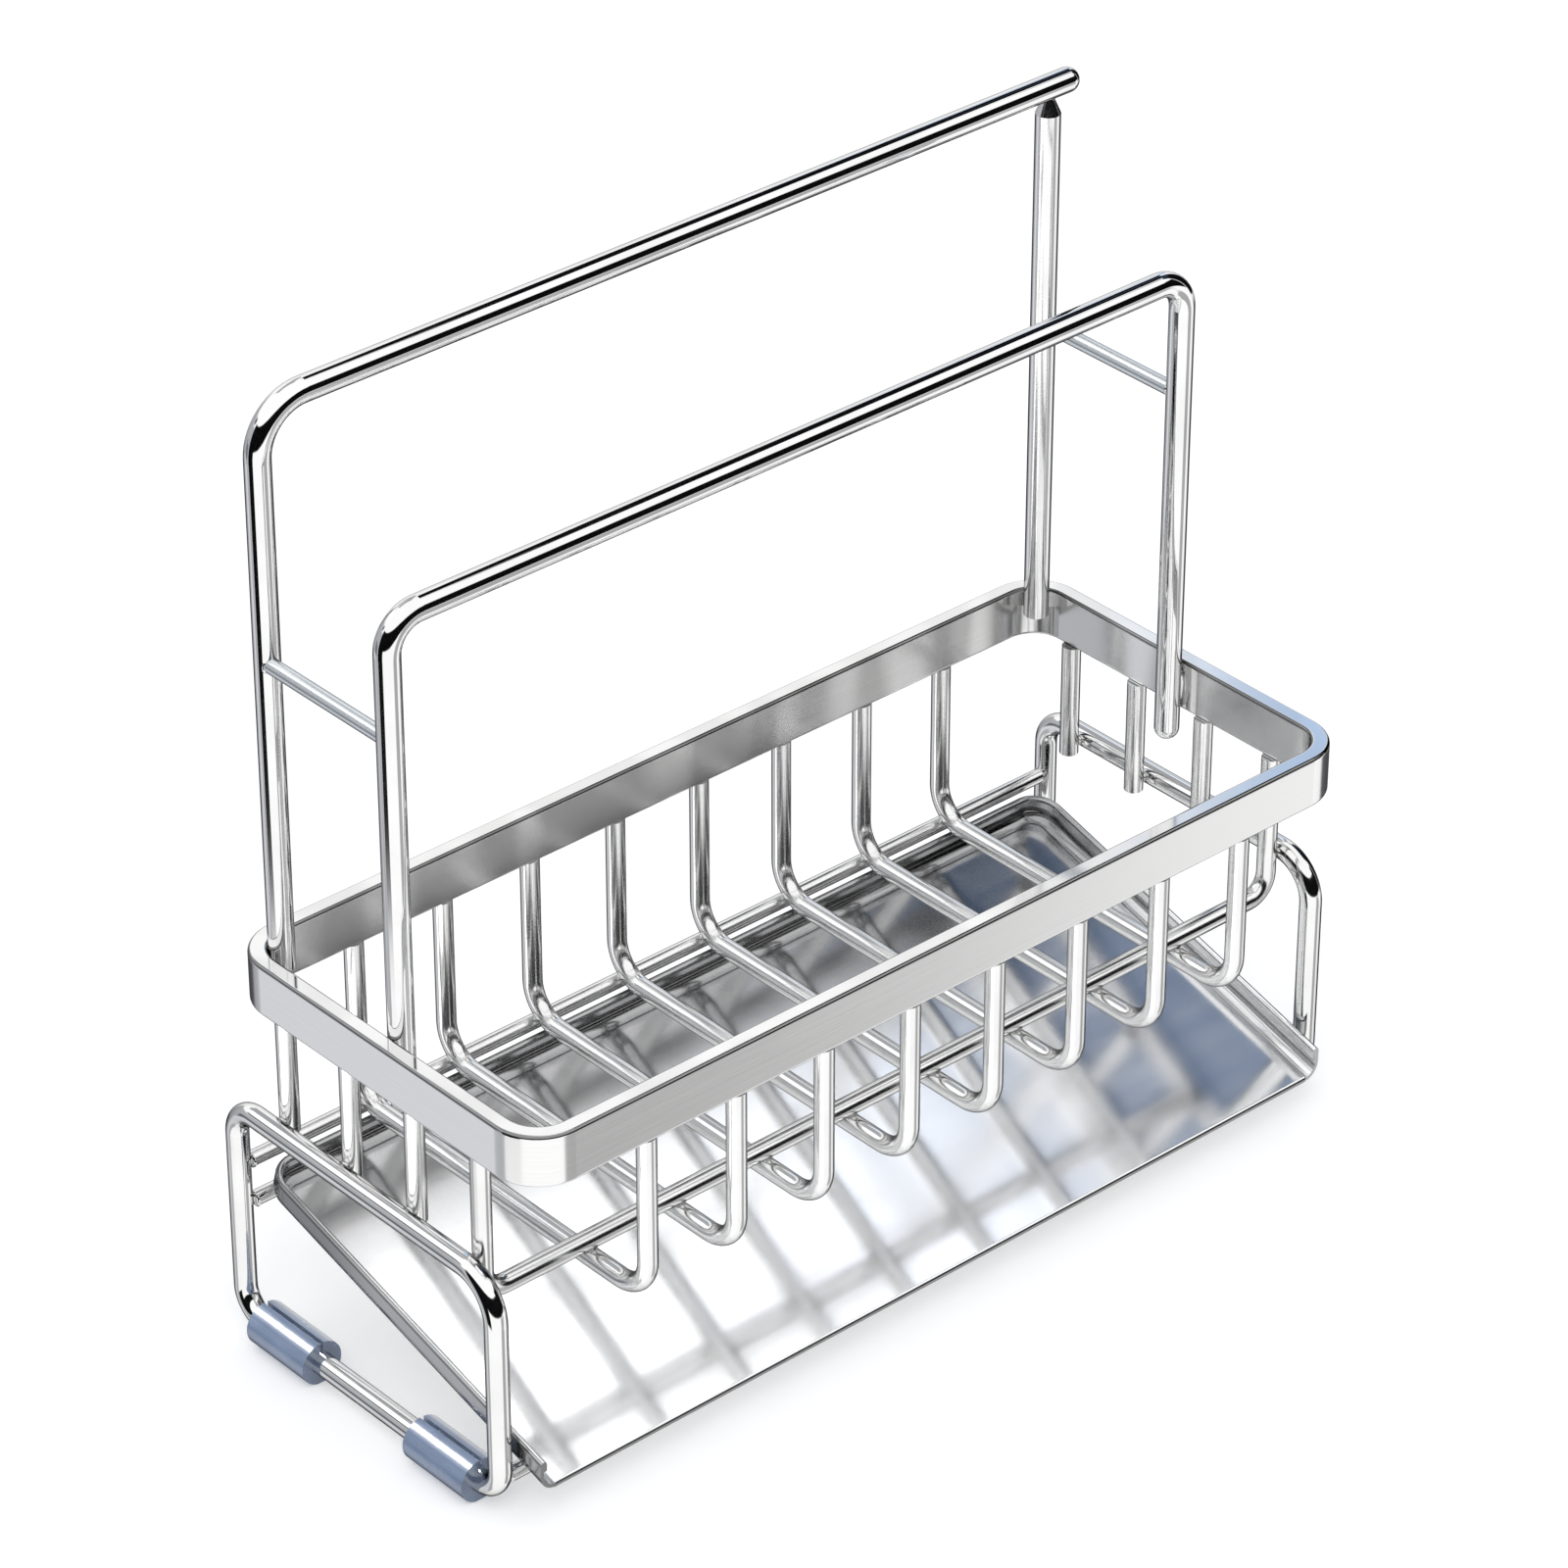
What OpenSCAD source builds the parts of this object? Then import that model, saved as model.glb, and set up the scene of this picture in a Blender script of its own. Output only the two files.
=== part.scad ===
// Wire sponge holder for the side of a sink: a flat strip rim with a wire basket hung under it,
// two cloth hangers, two side frames on soft foot sleeves, and a sloping drip tray that draws out.
// Millimetres, +Z up, X along the basket, -Y to the front where the tray drains.
// The origin is on the surface that the foot sleeves stand on, under the middle of the rim.

/* [Rim] */
// Length of the rim, outside
rim_l = 210; // [180:1:260]
// Width of the rim, outside
rim_w = 90; // [80:1:120]
// Height of the rim strip
rim_h = 11.2; // [8:0.2:18]
// Thickness of the rim strip
rim_t = 3.8; // [3:0.1:5]
// Outside radius of the rim corners
rim_corner_r = 10.5; // [8:0.5:20]
// Rounding of the strip's long edges
rim_edge_r = 0.7; // [0.3:0.1:1.2]
// Height of the rim's lower edge above the standing surface
rim_z = 76.6; // [65:0.1:100]

/* [Basket] */
// Diameter of the basket wires
basket_wire_d = 4; // [3:0.1:4.2]
// Number of wires that cross the basket
cross_count = 8; // [2:1:8]
// Distance from the end posts to the outermost cross wires
cross_end_gap = 25.6; // [15:0.1:35]
// Depth of the basket, from the rim's lower edge to the middle of the floor wires
basket_depth = 36.2; // [30:0.1:37]
// Radius of the bends in the cross wires, to the wire's middle
cross_bend_r = 8; // [5:0.5:12]
// Distance of the front floor wire and its risers in front of the middle
floor_wire_y = 26.3; // [18:0.1:30]
// Radius of the bends in the front floor wire
floor_bend_r = 5; // [3:0.5:8]
// Inset of the end posts from the rim's ends, to the wire's middle
post_inset = 3.1; // [2.5:0.1:3.6]
// Distance between the end posts
post_pitch = 19.2; // [14:0.2:22]
// How far the end posts reach below the middle of the side frame's top bar
post_tip = 2.2; // [0.5:0.1:4]
// Diameter of the rear floor wire
rear_wire_d = 3.2; // [2.4:0.1:4]
// Place of the rear floor wire round the outside of the bends, below level
rear_wire_angle = 53; // [40:1:56]

/* [Side frames] */
// Diameter of the side frame wire
frame_wire_d = 4.6; // [3:0.1:5]
// Distance of the frame's rear leg behind the middle
frame_rear_y = 42.5; // [40:0.5:50]
// Distance of the frame's front leg in front of the middle
frame_front_y = 35; // [30:0.5:38]
// Height of the frame's top bar above the standing surface
frame_top_z = 53.1; // [48:0.1:60]
// Radius of the upper front bend
frame_front_bend_r = 9; // [6:0.5:11]
// Radius of the upper rear bend
frame_rear_bend_r = 6.5; // [5:0.5:10]
// Radius of the two lower bends
frame_foot_bend_r = 6; // [4:0.5:8]
// Diameter of the two cross rails between the side frames
rail_d = 3.2; // [2.4:0.1:4]

/* [Foot sleeves] */
// Outside diameter of the foot sleeves
sleeve_d = 9.4; // [8:0.1:11]
// Length of the foot sleeves
sleeve_l = 17.5; // [12:0.5:22]
// Width of the slit along each sleeve
slit_w = 0.9; // [0.6:0.1:1.6]
// Direction of the slit, above level, facing outwards
slit_angle = 92; // [45:1:110]
// Depth of the flat that a sleeve wears on its underside
foot_flat = 0.15; // [0.1:0.01:0.3]

/* [Hangers] */
// Diameter of the hanger wires
hanger_wire_d = 5.2; // [3.5:0.1:6]
// Height of the front hanger's bar above the rim's lower edge
front_hanger_h = 99; // [80:1:140]
// Height of the rear hanger's bar above the rim's lower edge
rear_hanger_h = 126; // [100:1:170]
// Radius of the front hanger's bends
front_hanger_bend_r = 7; // [5:0.5:14]
// Radius of the rear hanger's bend
rear_hanger_bend_r = 10.5; // [6:0.5:16]
// How far the front hanger's legs reach below the rim
front_leg_tail = 6.3; // [2:0.1:10]
// How far the rear hanger's legs lap the inside of the rim
rear_leg_lap = 4.5; // [3:0.1:8]
// How far the rear bar runs past the middle of its right leg
rear_bar_tail = 4.8; // [3:0.1:8]
// Length of the tapered weld neck on the right leg
weld_neck_l = 3; // [2:0.1:5]
// Diameter of the tie rods between the hangers
tie_d = 3.2; // [2:0.1:4]
// Height of the tie rods above the rim's lower edge
tie_h = 73.5; // [50:0.5:85]

/* [Drip tray] */
// Slope of the tray, falling to the front
tray_slope = 16; // [12:0.5:17]
// Distance of the tray's front edge in front of the middle
tray_front_y = 42.6; // [40:0.2:46]
// Length of the tray along its slope
tray_l = 87.8; // [80:0.1:89]
// Height of the tray's lip, from its underside
tray_lip_h = 6.6; // [6:0.1:8]
// Thickness of the tray sheet
tray_t = 0.8; // [0.6:0.1:1.2]
// Outside radius of the bend between the tray's floor and its walls
tray_bend_r = 3.5; // [2.5:0.1:4.5]
// Radius of the tray's rear corners, seen from above
tray_corner_r = 6.5; // [6:0.5:14]
// Depth of the folded hem on the tray's edges
hem_l = 2.2; // [1.6:0.1:3]
// Side clearance between the tray and the side frames
tray_side_gap = 1.2; // [0.5:0.1:2]
// Clearance between the tray and the wires above and below it
tray_gap = 0.35; // [0.3:0.05:0.6]

/* [Hidden] */
$fn = 48;

// Slanting places are rounded to a thousandth, so that pieces of one wire meet
function to_micron(v) = round(v * 1000) / 1000;

// The wires under the rim are butted to its underside, level with the strip's outside
cross_y = rim_w / 2 - basket_wire_d / 2;
post_x = rim_l / 2 - post_inset;
post_ys = [for (i = [1 : 3]) -floor_wire_y + i * post_pitch];
cross_pitch = 2 * (post_x - cross_end_gap) / (cross_count - 1);

frame_x = post_x + basket_wire_d / 2 + frame_wire_d / 2;
frame_foot_z = sleeve_d / 2 - foot_flat;
frame_inner_x = frame_x - frame_wire_d / 2;

basket_floor_z = rim_z - basket_depth;
front_floor_z = basket_floor_z + basket_wire_d;
cross_bend_y = cross_y - cross_bend_r;
cross_bend_z = basket_floor_z + cross_bend_r;
rear_wire_reach = cross_bend_r + basket_wire_d / 2 + rear_wire_d / 2;
rear_wire_y = to_micron(cross_bend_y + rear_wire_reach * cos(rear_wire_angle));
rear_wire_z = to_micron(cross_bend_z - rear_wire_reach * sin(rear_wire_angle));

front_hanger_x = rim_l / 2 - rim_t - hanger_wire_d / 2;
corner_inner_r = rim_corner_r - rim_t;
corner_seat = to_micron((corner_inner_r - hanger_wire_d / 2) * cos(45));
rear_hanger_x = rim_l / 2 - rim_corner_r + corner_seat;
rear_hanger_y = rim_w / 2 - rim_corner_r + corner_seat;
front_bar_z = rim_z + front_hanger_h;
rear_bar_z = rim_z + rear_hanger_h;
rear_leg_end_z = rim_z + rim_h - rear_leg_lap;
tie_x = (front_hanger_x + rear_hanger_x) / 2;
tie_z = rim_z + tie_h;

// The tray's own frame starts at its front lower edge, with Y up the slope
tray_w = 2 * (frame_inner_x - tray_side_gap);
tray_wall_top_z = basket_floor_z - basket_wire_d / 2 - tray_gap;
tray_front_z = tray_wall_top_z - tray_l * sin(tray_slope) - tray_lip_h * cos(tray_slope);
tray_inner_bend_r = tray_bend_r - tray_t;

// The rear rail cradles the tray's rear bend, the front rail lies under its floor
rail_off_leg = rail_d / 2 - rail_d / 8;
rear_rail_y = frame_rear_y - rail_off_leg;
tray_bend_y = -tray_front_y + (tray_l - tray_bend_r) * cos(tray_slope) - tray_bend_r * sin(tray_slope);
tray_bend_z = tray_front_z + (tray_l - tray_bend_r) * sin(tray_slope) + tray_bend_r * cos(tray_slope);
rear_rail_reach = tray_bend_r + rail_d / 2 + tray_gap;
rear_rail_z = tray_bend_z - sqrt(pow(rear_rail_reach, 2) - pow(rear_rail_y - tray_bend_y, 2));
front_rail_y = frame_front_y - frame_wire_d / 8;
front_rail_z = tray_front_z + (tray_front_y - front_rail_y) * tan(tray_slope)
    - (rail_d / 2 + tray_gap) / cos(tray_slope);

// One overrun serves every cut
cut = 1;

STEEL = [0.80, 0.81, 0.82];
SATIN = [0.72, 0.72, 0.71];
SHEET = [0.76, 0.77, 0.79];
SLATE = [0.40, 0.46, 0.56];

// A rectangle with rounded corners, drawn from plain squares and circles
module round_rect(w, h, r) {
    square([w - 2 * r, h], center = true);
    square([w, h - 2 * r], center = true);
    for (x = [-1, 1], y = [-1, 1])
        translate([x * (w / 2 - r), y * (h / 2 - r)])
            circle(r);
}

// A straight wire from one level to another
module upright(d, low, high) {
    translate([0, 0, low])
        cylinder(h = high - low, d = d);
}

// A quarter bend in the XZ plane, from +X round to -Z
module bend(r, d) {
    rotate([-90, 0, 0])
        rotate_extrude(angle = 90)
            translate([r, 0])
                circle(d = d);
}

// A wire bent to a U in the XZ plane, its ends up at level 0 and its floor at -drop
module wire_u(span, drop, r, d) {
    for (side = [0, 1])
        mirror([side, 0, 0]) {
            translate([span / 2, 0, 0])
                upright(d, r - drop, 0);
            translate([span / 2 - r, 0, r - drop])
                bend(r, d);
        }
    translate([r - span / 2, 0, -drop])
        rotate([0, 90, 0])
            cylinder(h = span - 2 * r, d = d);
}

// The rim is one strip bent to a loop: four straight runs and four corners
module strip_section() {
    round_rect(rim_t, rim_h, rim_edge_r);
}

module rim_run(length) {
    rotate([90, 0, 0])
        translate([0, 0, -length / 2])
            linear_extrude(length)
                strip_section();
}

module rim_band() {
    run_x = rim_l / 2 - rim_corner_r;
    run_y = rim_w / 2 - rim_corner_r;
    color(SATIN)
        translate([0, 0, rim_z + rim_h / 2])
            union() {
                for (side = [-1, 1]) {
                    translate([side * (rim_l - rim_t) / 2, 0, 0])
                        rim_run(2 * run_y);
                    translate([0, side * (rim_w - rim_t) / 2, 0])
                        rotate([0, 0, 90])
                            rim_run(2 * run_x);
                }
                for (i = [0, 1], j = [0, 1])
                    mirror([i, 0, 0])
                        mirror([0, j, 0])
                            translate([run_x, run_y, 0])
                                rotate_extrude(angle = 90)
                                    translate([rim_corner_r - rim_t / 2, 0])
                                        strip_section();
            }
}

// A cross wire goes down from the rim, under the basket and up again
module cross_wire(i) {
    color(STEEL)
        translate([(i - (cross_count + 1) / 2) * cross_pitch, 0, rim_z])
            rotate([0, 0, 90])
                wire_u(2 * cross_y, basket_depth, cross_bend_r, basket_wire_d);
}

// The front floor wire lies on the cross wires and rises to the rim at both ends
module front_floor_wire() {
    color(STEEL)
        translate([0, -floor_wire_y, rim_z])
            wire_u(2 * post_x, rim_z - front_floor_z, floor_bend_r, basket_wire_d);
}

// An end post carries the side frame's top bar from the rim
module end_post(side, i) {
    color(STEEL)
        translate([side * post_x, post_ys[i - 1], 0])
            upright(basket_wire_d, frame_top_z - post_tip, rim_z);
}

// A side frame is one closed loop of wire, standing across the holder
module side_frame(side) {
    front = -frame_front_y;
    rear = frame_rear_y;
    top = frame_top_z;
    foot = frame_foot_z;
    d = frame_wire_d;
    color(STEEL)
        translate([side * frame_x, 0, 0]) {
            translate([0, front, 0])
                upright(d, foot + frame_foot_bend_r, top - frame_front_bend_r);
            translate([0, rear, 0])
                upright(d, foot + frame_foot_bend_r, top - frame_rear_bend_r);
            frame_bar(front + frame_front_bend_r, rear - frame_rear_bend_r, top);
            frame_bar(front + frame_foot_bend_r, rear - frame_foot_bend_r, foot);
            frame_bend(front, top, frame_front_bend_r, 1, 1);
            frame_bend(rear, top, frame_rear_bend_r, 0, 1);
            frame_bend(front, foot, frame_foot_bend_r, 1, 0);
            frame_bend(rear, foot, frame_foot_bend_r, 0, 0);
        }
}

module frame_bar(from_y, to_y, z) {
    translate([0, from_y, z])
        rotate([-90, 0, 0])
            cylinder(h = to_y - from_y, d = frame_wire_d);
}

// A bend whose outer corner is at y, z: at the front or the rear, at the top or the foot
module frame_bend(y, z, r, at_front, at_top) {
    translate([0, at_front ? y + r : y - r, at_top ? z - r : z + r])
        mirror([0, at_front, 0])
            mirror([0, 0, at_top])
                rotate([0, 0, 90])
                    bend(r, frame_wire_d);
}

// The rear floor wire and the two cross rails tie the side frames together
module cross_rail(y, z, d) {
    color(STEEL)
        translate([-frame_inner_x, y, z])
            rotate([0, 90, 0])
                cylinder(h = 2 * frame_inner_x, d = d);
}

// A foot sleeve snaps over the frame's lower bar through a slit and has a flat underside
module foot_sleeve(side, y) {
    mirror([side > 0 ? 1 : 0, 0, 0])
        color(SLATE)
            translate([-frame_x, y, frame_foot_z])
                rotate([90, 0, 0])
                    difference() {
                        cylinder(h = sleeve_l, d = sleeve_d, center = true);
                        cylinder(h = sleeve_l + 2 * cut, d = frame_wire_d, center = true);
                        rotate([0, 0, 180 - slit_angle])
                            translate([sleeve_d / 4 + cut / 2, 0, 0])
                                cube([sleeve_d / 2 + cut, slit_w, sleeve_l + 2 * cut], center = true);
                        translate([0, -frame_foot_z - cut / 2, 0])
                            cube([sleeve_d, cut, sleeve_l + 2 * cut], center = true);
                    }
}

front_sleeve_y = -frame_front_y + frame_foot_bend_r + sleeve_l / 2;
rear_sleeve_y = frame_rear_y - frame_foot_bend_r - sleeve_l / 2;

// The front hanger is one wire, its legs welded inside the rim's ends
module front_hanger() {
    tail_end = -front_leg_tail - front_hanger_h;
    color(STEEL)
        translate([0, 0, front_bar_z])
            mirror([0, 0, 1])
                translate([0, 0, front_hanger_h])
                    wire_u(2 * front_hanger_x, front_hanger_h, front_hanger_bend_r, hanger_wire_d);
    color(STEEL)
        for (side = [-1, 1])
            translate([side * front_hanger_x, 0, front_bar_z + tail_end])
                domed_tail(front_leg_tail);
}

// A leg's lower tail with a domed end
module domed_tail(length) {
    r = hanger_wire_d / 2;
    translate([0, 0, r])
        sphere(r);
    upright(hanger_wire_d, r, length);
}

// The rear hanger is bent down at its left end only: its bar ends past the right leg
module rear_hanger() {
    r = rear_hanger_bend_r;
    bar_end = rear_hanger_x + rear_bar_tail;
    color(STEEL)
        translate([0, rear_hanger_y, 0]) {
            translate([-rear_hanger_x, 0, 0])
                upright(hanger_wire_d, rear_leg_end_z, rear_bar_z - r);
            translate([r - rear_hanger_x, 0, rear_bar_z - r])
                mirror([1, 0, 0])
                    mirror([0, 0, 1])
                        bend(r, hanger_wire_d);
            translate([r - rear_hanger_x, 0, rear_bar_z])
                rotate([0, 90, 0])
                    cylinder(h = bar_end - r + rear_hanger_x, d = hanger_wire_d);
            translate([bar_end, 0, rear_bar_z])
                sphere(d = hanger_wire_d);
        }
}

// The right leg is a wire of its own, welded under the bar by a tapered neck
module rear_hanger_right_leg() {
    neck_low = rear_bar_z - hanger_wire_d / 2 - weld_neck_l;
    color(STEEL)
        translate([rear_hanger_x, rear_hanger_y, 0]) {
            upright(hanger_wire_d, rear_leg_end_z, neck_low);
            translate([0, 0, neck_low])
                cylinder(h = weld_neck_l, d1 = hanger_wire_d, d2 = hanger_wire_d / 2);
        }
}

// A tie rod joins the two hangers' legs at each end, its ends coped to fit their round sides
module hanger_tie(side) {
    color(STEEL)
        difference() {
            translate([side * tie_x, 0, tie_z])
                rotate([-90, 0, 0])
                    cylinder(h = rear_hanger_y, d = tie_d);
            translate([side * front_hanger_x, 0, tie_z])
                upright(hanger_wire_d, -tie_d, tie_d);
            translate([side * rear_hanger_x, rear_hanger_y, tie_z])
                upright(hanger_wire_d, -tie_d, tie_d);
        }
}

// Section of the tray's wall, its outer face on the Y axis and the tray to the left
module wall_section() {
    difference() {
        union() {
            translate([-tray_bend_r, tray_bend_r])
                circle(tray_bend_r);
            translate([-tray_bend_r, tray_bend_r])
                square([tray_bend_r, tray_lip_h - tray_t - tray_bend_r]);
        }
        translate([-tray_bend_r, tray_bend_r])
            circle(tray_inner_bend_r);
        translate([-2 * tray_bend_r - cut, -cut])
            square([tray_bend_r + cut, tray_lip_h + 2 * cut]);
        translate([-tray_bend_r - cut, tray_bend_r])
            square([tray_bend_r - tray_t + cut, tray_lip_h]);
    }
    translate([-2 * tray_t, tray_lip_h - hem_l])
        square([tray_t, hem_l - tray_t]);
    translate([-tray_t, tray_lip_h - tray_t])
        circle(tray_t);
}

// The pressed tray: a floor with walls at both sides and the back, open at the front,
// its edges folded over and the fronts of its side walls cut upright
module tray_shell() {
    half = tray_w / 2;
    side_run = tray_l - tray_corner_r;
    flat_r = tray_corner_r - tray_bend_r;
    linear_extrude(tray_t) {
        translate([tray_bend_r - half, tray_t])
            square([tray_w - 2 * tray_bend_r, side_run - tray_t]);
        translate([tray_corner_r - half, side_run])
            square([tray_w - 2 * tray_corner_r, flat_r]);
        for (side = [-1, 1])
            translate([side * (half - tray_corner_r), side_run])
                circle(flat_r);
    }
    for (i = [0, 1])
        mirror([i, 0, 0]) {
            difference() {
                translate([half, side_run, 0])
                    rotate([90, 0, 0])
                        linear_extrude(side_run)
                            wall_section();
                rotate([-tray_slope, 0, 0])
                    translate([half - 2 * tray_bend_r, -tray_lip_h, 0])
                        cube([3 * tray_bend_r, tray_lip_h, 2 * tray_lip_h]);
            }
            translate([half - tray_corner_r, side_run, 0])
                rotate_extrude(angle = 90)
                    translate([tray_corner_r, 0])
                        wall_section();
        }
    translate([tray_corner_r - half, tray_l, 0])
        rotate([90, 0, 90])
            linear_extrude(tray_w - 2 * tray_corner_r)
                wall_section();
    translate([tray_bend_r - half, tray_t, -tray_t])
        cube([tray_w - 2 * tray_bend_r, hem_l - tray_t, tray_t]);
    translate([tray_bend_r - half, tray_t, 0])
        rotate([0, 90, 0])
            cylinder(h = tray_w - 2 * tray_bend_r, r = tray_t);
}

module drip_tray() {
    color(SHEET)
        translate([0, -tray_front_y, tray_front_z])
            rotate([tray_slope, 0, 0])
                tray_shell();
}

rim_band();
for (i = [1 : cross_count])
    cross_wire(i);
front_floor_wire();
cross_rail(rear_wire_y, rear_wire_z, rear_wire_d);  // rear_floor_wire
for (i = [1 : 3]) {
    end_post(-1, i);
    end_post(1, i);
}
side_frame(-1);  // left_side_frame
side_frame(1);  // right_side_frame
cross_rail(-front_rail_y, front_rail_z, rail_d);  // front_cross_rail
cross_rail(rear_rail_y, rear_rail_z, rail_d);  // rear_cross_rail
foot_sleeve(-1, front_sleeve_y);  // left_front_foot_sleeve
foot_sleeve(-1, rear_sleeve_y);  // left_rear_foot_sleeve
foot_sleeve(1, front_sleeve_y);  // right_front_foot_sleeve
foot_sleeve(1, rear_sleeve_y);  // right_rear_foot_sleeve
front_hanger();
rear_hanger();
rear_hanger_right_leg();
hanger_tie(-1);  // left_hanger_tie
hanger_tie(1);  // right_hanger_tie
drip_tray();
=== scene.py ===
"""Looks for a wire sponge holder.

Polished wires, a satin strip rim, a pressed drip tray and soft foot sleeves, in a pale studio.
"""

import math

import bmesh
import bpy
from mathutils import Matrix, Vector, noise


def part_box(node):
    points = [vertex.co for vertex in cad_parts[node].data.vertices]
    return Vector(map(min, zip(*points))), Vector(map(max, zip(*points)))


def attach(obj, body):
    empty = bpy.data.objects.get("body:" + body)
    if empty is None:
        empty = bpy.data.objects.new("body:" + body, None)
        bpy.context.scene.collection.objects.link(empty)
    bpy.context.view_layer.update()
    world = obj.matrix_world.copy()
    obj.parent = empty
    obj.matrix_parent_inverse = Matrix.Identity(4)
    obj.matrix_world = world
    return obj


bl_info = {
    "name": "Wire Sponge Holder",
    "version": (1, 0, 0),
    "blender": (4, 5, 0),
    "location": "View3D > Sidebar > Sponge Holder",
    "description": "Finishes the wires, rim, tray and foot sleeves of a sponge holder and sets its studio",
    "category": "Object",
}

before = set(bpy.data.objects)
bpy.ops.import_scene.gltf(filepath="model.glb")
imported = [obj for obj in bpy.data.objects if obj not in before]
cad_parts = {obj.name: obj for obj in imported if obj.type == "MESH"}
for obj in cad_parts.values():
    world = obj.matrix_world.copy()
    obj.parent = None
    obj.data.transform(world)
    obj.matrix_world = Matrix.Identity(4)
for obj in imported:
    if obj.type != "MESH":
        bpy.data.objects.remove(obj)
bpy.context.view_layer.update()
MM = 0.001

CROSS_WIRES = ["cross_wire_%d" % i for i in range(1, 9)]
FLOOR_WIRES = ["front_floor_wire", "rear_floor_wire"]
END_POSTS = ["%s_end_post_%d" % (side, i) for side in ("left", "right") for i in (1, 2, 3)]
SIDE_FRAMES = ["left_side_frame", "right_side_frame"]
RAILS = ["front_cross_rail", "rear_cross_rail"]
SLEEVES = ["%s_%s_foot_sleeve" % (side, end) for side in ("left", "right") for end in ("front", "rear")]
HANGERS = ["front_hanger", "rear_hanger"]
HANGER_LEG = "rear_hanger_right_leg"
TIES = ["left_hanger_tie", "right_hanger_tie"]

# Noise gathers near 0.5. Each pair is the part of it that a finish spreads out to its full range.
TINT_LIMITS = (0.35, 0.7)
HAZE_LIMITS = (0.3, 0.75)
EVEN_LIMITS = (0.3, 0.7)
PIT_LIMITS = (0.55, 0.8)
WORN_LIMITS = (0.35, 0.65)
# The next pair is for the painted streaky shade inside the rim.
SHADE_STREAK_LIMITS = (0.42, 0.66)

# Lumps of a weld bead: their height as a part of the bead's size, their fineness, and how far the noise
# moves on from one bead to the next
LUMP_HEIGHT = 0.16
LUMP_FINENESS = 1.7
LUMP_STEP = (3.1, 1.7, 1)

# What the camera, matt faces and polished metal see of the surroundings, and two directions in them
WHITE = (1.0, 1.0, 1.0, 1.0)
EVEN_LIGHT = (0.80, 0.81, 0.83, 1.0)
BRIGHT = (1.06, 1.06, 1.06, 1.0)
BACK_RIGHT = (0.70711, 0.70711, 0.0)
FRONT_RIGHT = (0.70711, -0.70711, 0.0)

# Sensor in millimetres, and the nearest and farthest point that the camera shows, in metres
SENSOR_WIDTH = 36.0
NEAREST_SEEN = 0.01
FARTHEST_SEEN = 50.0


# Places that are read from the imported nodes

def centre(node):
    """Middle of a node's box."""
    low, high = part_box(node)
    return (low + high) / 2


def own_middle(node):
    """Middle of a node's box in the node's own frame."""
    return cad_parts[node].matrix_world.inverted() @ centre(node)


def wire_radius(node, axis):
    """Half the thickness of a straight or flat-bent wire across the given axis."""
    low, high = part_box(node)
    return (high[axis] - low[axis]) / 2


# Small helpers that build shader nodes

def new_material(name):
    """An empty node material and its node tree."""
    material = bpy.data.materials.new(name)
    material.use_nodes = True
    tree = material.node_tree
    tree.nodes.clear()
    return material, tree


def add_node(tree, kind, **values):
    """Adds a node and sets its properties."""
    made = tree.nodes.new(kind)
    for key, value in values.items():
        setattr(made, key, value)
    return made


def set_inputs(tree, made, sockets):
    """Sets or links a node's inputs, from a dict of socket name or number to a value or an output."""
    for key, value in sockets.items():
        if isinstance(value, bpy.types.NodeSocket):
            tree.links.new(value, made.inputs[key])
        else:
            made.inputs[key].default_value = value


def link_output(tree, shader, kind="ShaderNodeOutputMaterial"):
    """Links a shader to a new output node."""
    out = add_node(tree, kind)
    tree.links.new(shader.outputs[0], out.inputs[0])


def spread(tree, value, limits, first=0.0, last=1.0):
    """Maps a value between two limits to one from first to last, with soft ends."""
    made = add_node(tree, "ShaderNodeMapRange", interpolation_type="SMOOTHSTEP")
    set_inputs(tree, made, {"Value": value, "From Min": limits[0], "From Max": limits[1],
                            "To Min": first, "To Max": last})
    return made.outputs["Result"]


def arithmetic(tree, operation, a, b):
    """One step of arithmetic on two values."""
    made = add_node(tree, "ShaderNodeMath", operation=operation)
    set_inputs(tree, made, {0: a, 1: b})
    return made.outputs[0]


def weighted(tree, parts):
    """Adds up values, each times its weight."""
    total = None
    for value, weight in parts:
        part = arithmetic(tree, "MULTIPLY", value, weight)
        total = part if total is None else arithmetic(tree, "ADD", total, part)
    return total


def blend_values(tree, share, a, b):
    """Mixes two values. share is the part of the second one."""
    made = add_node(tree, "ShaderNodeMix", data_type="FLOAT")
    set_inputs(tree, made, {0: share, 2: a, 3: b})
    return made.outputs[0]


def blend_colours(tree, share, a, b, label=""):
    """Mixes two colours. share is the part of the second one."""
    made = add_node(tree, "ShaderNodeMix", data_type="RGBA", label=label)
    set_inputs(tree, made, {0: share, 6: a, 7: b})
    return made.outputs[2]


def toned(tree, colour, tone):
    """A colour times a tone, both from nodes or plain values."""
    made = add_node(tree, "ShaderNodeMix", data_type="RGBA", blend_type="MULTIPLY")
    set_inputs(tree, made, {0: 1.0, 6: colour, 7: tone})
    return made.outputs[2]


def shade_of(colour, factor=1.0):
    """A colour made lighter or darker, with its alpha."""
    return tuple(min(1.0, c * factor) for c in colour[:3]) + (1.0,)


def axis_of(tree, vector, axis):
    """One axis of a vector, named X, Y or Z."""
    made = add_node(tree, "ShaderNodeSeparateXYZ")
    set_inputs(tree, made, {0: vector})
    return made.outputs[axis]


def dot_product(tree, a, b):
    """How far one vector runs along another."""
    made = add_node(tree, "ShaderNodeVectorMath", operation="DOT_PRODUCT")
    set_inputs(tree, made, {0: a, 1: b})
    return made.outputs["Value"]


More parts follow.
